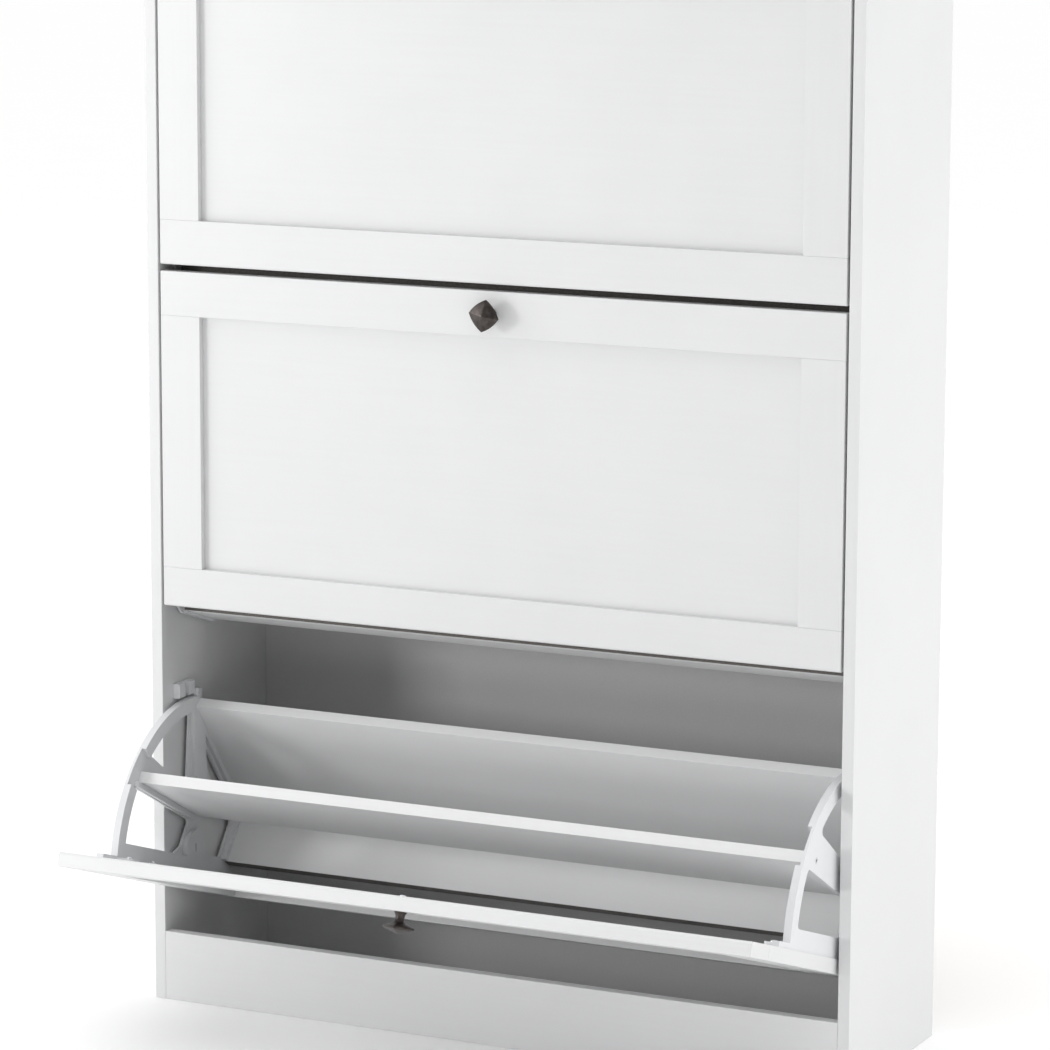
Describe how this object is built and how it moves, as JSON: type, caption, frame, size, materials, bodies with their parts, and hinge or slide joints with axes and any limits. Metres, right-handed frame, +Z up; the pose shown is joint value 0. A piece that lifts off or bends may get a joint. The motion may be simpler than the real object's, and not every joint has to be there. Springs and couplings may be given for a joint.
{
  "type": "shoe cabinet",
  "caption": "Tall, shallow shoe cabinet with tip-out framed flap doors, each carrying a divided shoe bin between moulded flip brackets, with pyramid knobs.",
  "frame": {"origin": "centre of the kick board's foot, on the floor, midway between the sides", "axes": "+X to the right seen from the front, +Y from the doors to the wall, +Z up"},
  "size_m": [0.8, 0.4615, 1.175],
  "materials": {
    "white_board": "white melamine-faced particle board, satin, fine textured",
    "door_paint": "white laminated fibreboard, satin",
    "back_hardboard": "white-faced hardboard, semi-matt",
    "bracket_plastic": "moulded white plastic, satin",
    "knob_bronze": "dark antique bronze on die-cast zinc",
    "screw_steel": "zinc-plated steel",
    "dowel_wood": "plain beech",
    "cam_metal": "die-cast zinc, as cast",
    "bush_plastic": "moulded white plastic"
  },
  "bodies": {
    "cabinet": {"back_panel": "back_hardboard", "bottom_rear_rail": "white_board", "cam_bolts": "cam_metal", "cam_locks": "cam_metal", "joint_dowels": "dowel_wood", "kick_board": "white_board", "left_side_panel": "white_board", "lower_rear_rail": "white_board", "pivot_bushes": "bush_plastic", "right_side_panel": "white_board", "stop_block_screws": "screw_steel", "stop_blocks": "bracket_plastic", "top_board": "white_board", "top_rear_rail": "white_board", "upper_rear_rail": "white_board"},
    "lower_flap": {"lower_bin_back": "white_board", "lower_bin_divider": "white_board", "lower_bin_floor": "white_board", "lower_board_screws": "screw_steel", "lower_bracket_screws": "screw_steel", "lower_door_bottom_rail": "door_paint", "lower_door_left_stile": "door_paint", "lower_door_panel": "door_paint", "lower_door_right_stile": "door_paint", "lower_door_top_rail": "door_paint", "lower_knob": "knob_bronze", "lower_knob_screw": "screw_steel", "lower_left_bracket": "bracket_plastic", "lower_right_bracket": "bracket_plastic"},
    "middle_flap": {"middle_bin_back": "white_board", "middle_bin_divider": "white_board", "middle_bin_floor": "white_board", "middle_board_screws": "screw_steel", "middle_bracket_screws": "screw_steel", "middle_door_bottom_rail": "door_paint", "middle_door_left_stile": "door_paint", "middle_door_panel": "door_paint", "middle_door_right_stile": "door_paint", "middle_door_top_rail": "door_paint", "middle_knob": "knob_bronze", "middle_knob_screw": "screw_steel", "middle_left_bracket": "bracket_plastic", "middle_right_bracket": "bracket_plastic"},
    "upper_flap": {"upper_bin_back": "white_board", "upper_bin_divider": "white_board", "upper_bin_floor": "white_board", "upper_board_screws": "screw_steel", "upper_bracket_screws": "screw_steel", "upper_door_bottom_rail": "door_paint", "upper_door_left_stile": "door_paint", "upper_door_panel": "door_paint", "upper_door_right_stile": "door_paint", "upper_door_top_rail": "door_paint", "upper_knob": "knob_bronze", "upper_knob_screw": "screw_steel", "upper_left_bracket": "bracket_plastic", "upper_right_bracket": "bracket_plastic"}
  },
  "joints": [
    {"name": "lower_flap_hinge", "type": "hinge", "parent": "cabinet", "child": "lower_flap", "pos_m": [0, 0.03975, 0.1584], "axis": [1, 0, 0], "range_deg": [-71.6, 0]},
    {"name": "middle_flap_hinge", "type": "hinge", "parent": "cabinet", "child": "middle_flap", "pos_m": [0, 0.03975, 0.508], "axis": [1, 0, 0], "range_deg": [0, 71.6]},
    {"name": "upper_flap_hinge", "type": "hinge", "parent": "cabinet", "child": "upper_flap", "pos_m": [0, 0.03975, 0.8715], "axis": [1, 0, 0], "range_deg": [0, 71.6]}
  ]
}
